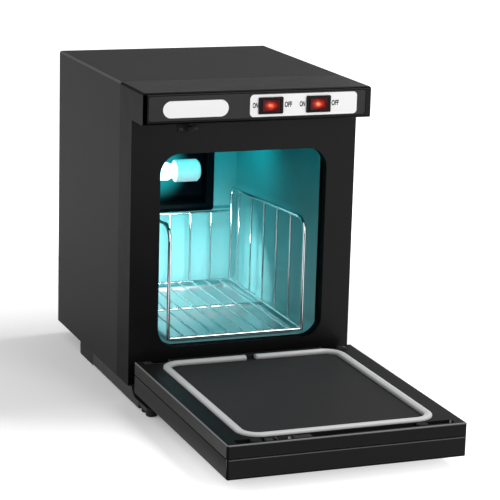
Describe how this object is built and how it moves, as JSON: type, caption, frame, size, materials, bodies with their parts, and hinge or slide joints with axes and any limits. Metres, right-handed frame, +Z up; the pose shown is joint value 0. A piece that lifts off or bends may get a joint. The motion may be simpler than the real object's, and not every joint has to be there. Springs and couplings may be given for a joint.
{
  "type": "hot towel cabinet",
  "caption": "Counter-top hot towel cabinet: boxy casing, overhanging switch hood, lit cavity with wire basket, and a drop-down door with a grey gasket.",
  "frame": {"origin": "middle of the bounding box's base, with the door open", "axes": "+Z up from the feet, +X to the user's right, +Y from the open door's edge towards the rear panel"},
  "size_m": [0.265, 0.6036, 0.352],
  "materials": {
    "casing_paint": "satin black powder coat",
    "bare_steel": "plain sheet",
    "spring_steel": "bright",
    "zinc_screw": "zinc plated",
    "frame_plastic": "black moulding",
    "door_plastic": "black moulding",
    "door_panel": "dark grey sheet",
    "label_white": "white plate",
    "switch_black": "black",
    "rocker_red": "lit red",
    "neon_orange": "lit neon",
    "brass_tab": "tab",
    "liner_metal": "pressed sheet",
    "heater_silicone": "silicone pad",
    "brown_resin": "moulded resin",
    "fuse_sleeve": "sleeve",
    "insulation_wool": "glass fibre",
    "foam": "foam slab",
    "lamp_white": "white socket",
    "lamp_glass": "lit glass",
    "black_rubber": "moulded rubber",
    "gasket_grey": "silicone"
  },
  "bodies": {
    "root": {"casing": "casing_paint", "rear_panel": "casing_paint", "rear_screws": "zinc_screw", "bottom_plate": "bare_steel", "front_frame": "frame_plastic", "control_fascia": "frame_plastic", "name_plate": "label_white", "switch_plate": "label_white", "heat_switch_housing": "switch_black", "uv_switch_housing": "switch_black", "pilot_lamps": "neon_orange", "switch_tabs": "brass_tab", "cavity_liner": "liner_metal", "heater_plate": "liner_metal", "heater_pad": "heater_silicone", "thermostat": "brown_resin", "thermal_fuse": "fuse_sleeve", "liner_insulation": "insulation_wool", "floor_insulation": "insulation_wool", "lamp_recess": "switch_black", "lamp_holder": "lamp_white", "uv_lamp": "lamp_glass", "lamp_ballast": "bare_steel", "terminal_block": "lamp_white", "cord_gland": "black_rubber", "basket_sides": "spring_steel", "basket_floor": "spring_steel", "basket_rear": "spring_steel", "drip_tray": "bare_steel", "base_frame": "frame_plastic", "front_feet": "black_rubber", "rear_feet": "black_rubber", "hinge_brackets": "bare_steel", "bracket_screws": "zinc_screw", "catch_tongue": "bare_steel", "base_screws": "zinc_screw"},
    "door": {"door_shell": "door_plastic", "door_inner_frame": "door_plastic", "door_liner": "door_panel", "door_insulation": "foam", "door_gasket": "gasket_grey", "door_bumpers": "black_rubber", "hinge_leaves": "bare_steel", "hinge_pins": "spring_steel", "leaf_screws": "zinc_screw", "catch_block": "switch_black", "catch_springs": "spring_steel"},
    "heat_rocker": {"heat_rocker": "rocker_red"},
    "uv_rocker": {"uv_rocker": "rocker_red"}
  },
  "joints": [
    {"name": "door_hinge", "type": "hinge", "parent": "root", "child": "door", "pos_m": [0, -0.01445, 0.028], "axis": [-1, 0, 0], "range_deg": [0, 90]},
    {"name": "heat_rocker_tilt", "type": "hinge", "parent": "root", "child": "heat_rocker", "pos_m": [0.0132, -0.02915, 0.3345], "axis": [0, 0, 1], "range_deg": [0, 20]},
    {"name": "uv_rocker_tilt", "type": "hinge", "parent": "root", "child": "uv_rocker", "pos_m": [0.0692, -0.02915, 0.3345], "axis": [0, 0, 1], "range_deg": [0, 20]}
  ]
}
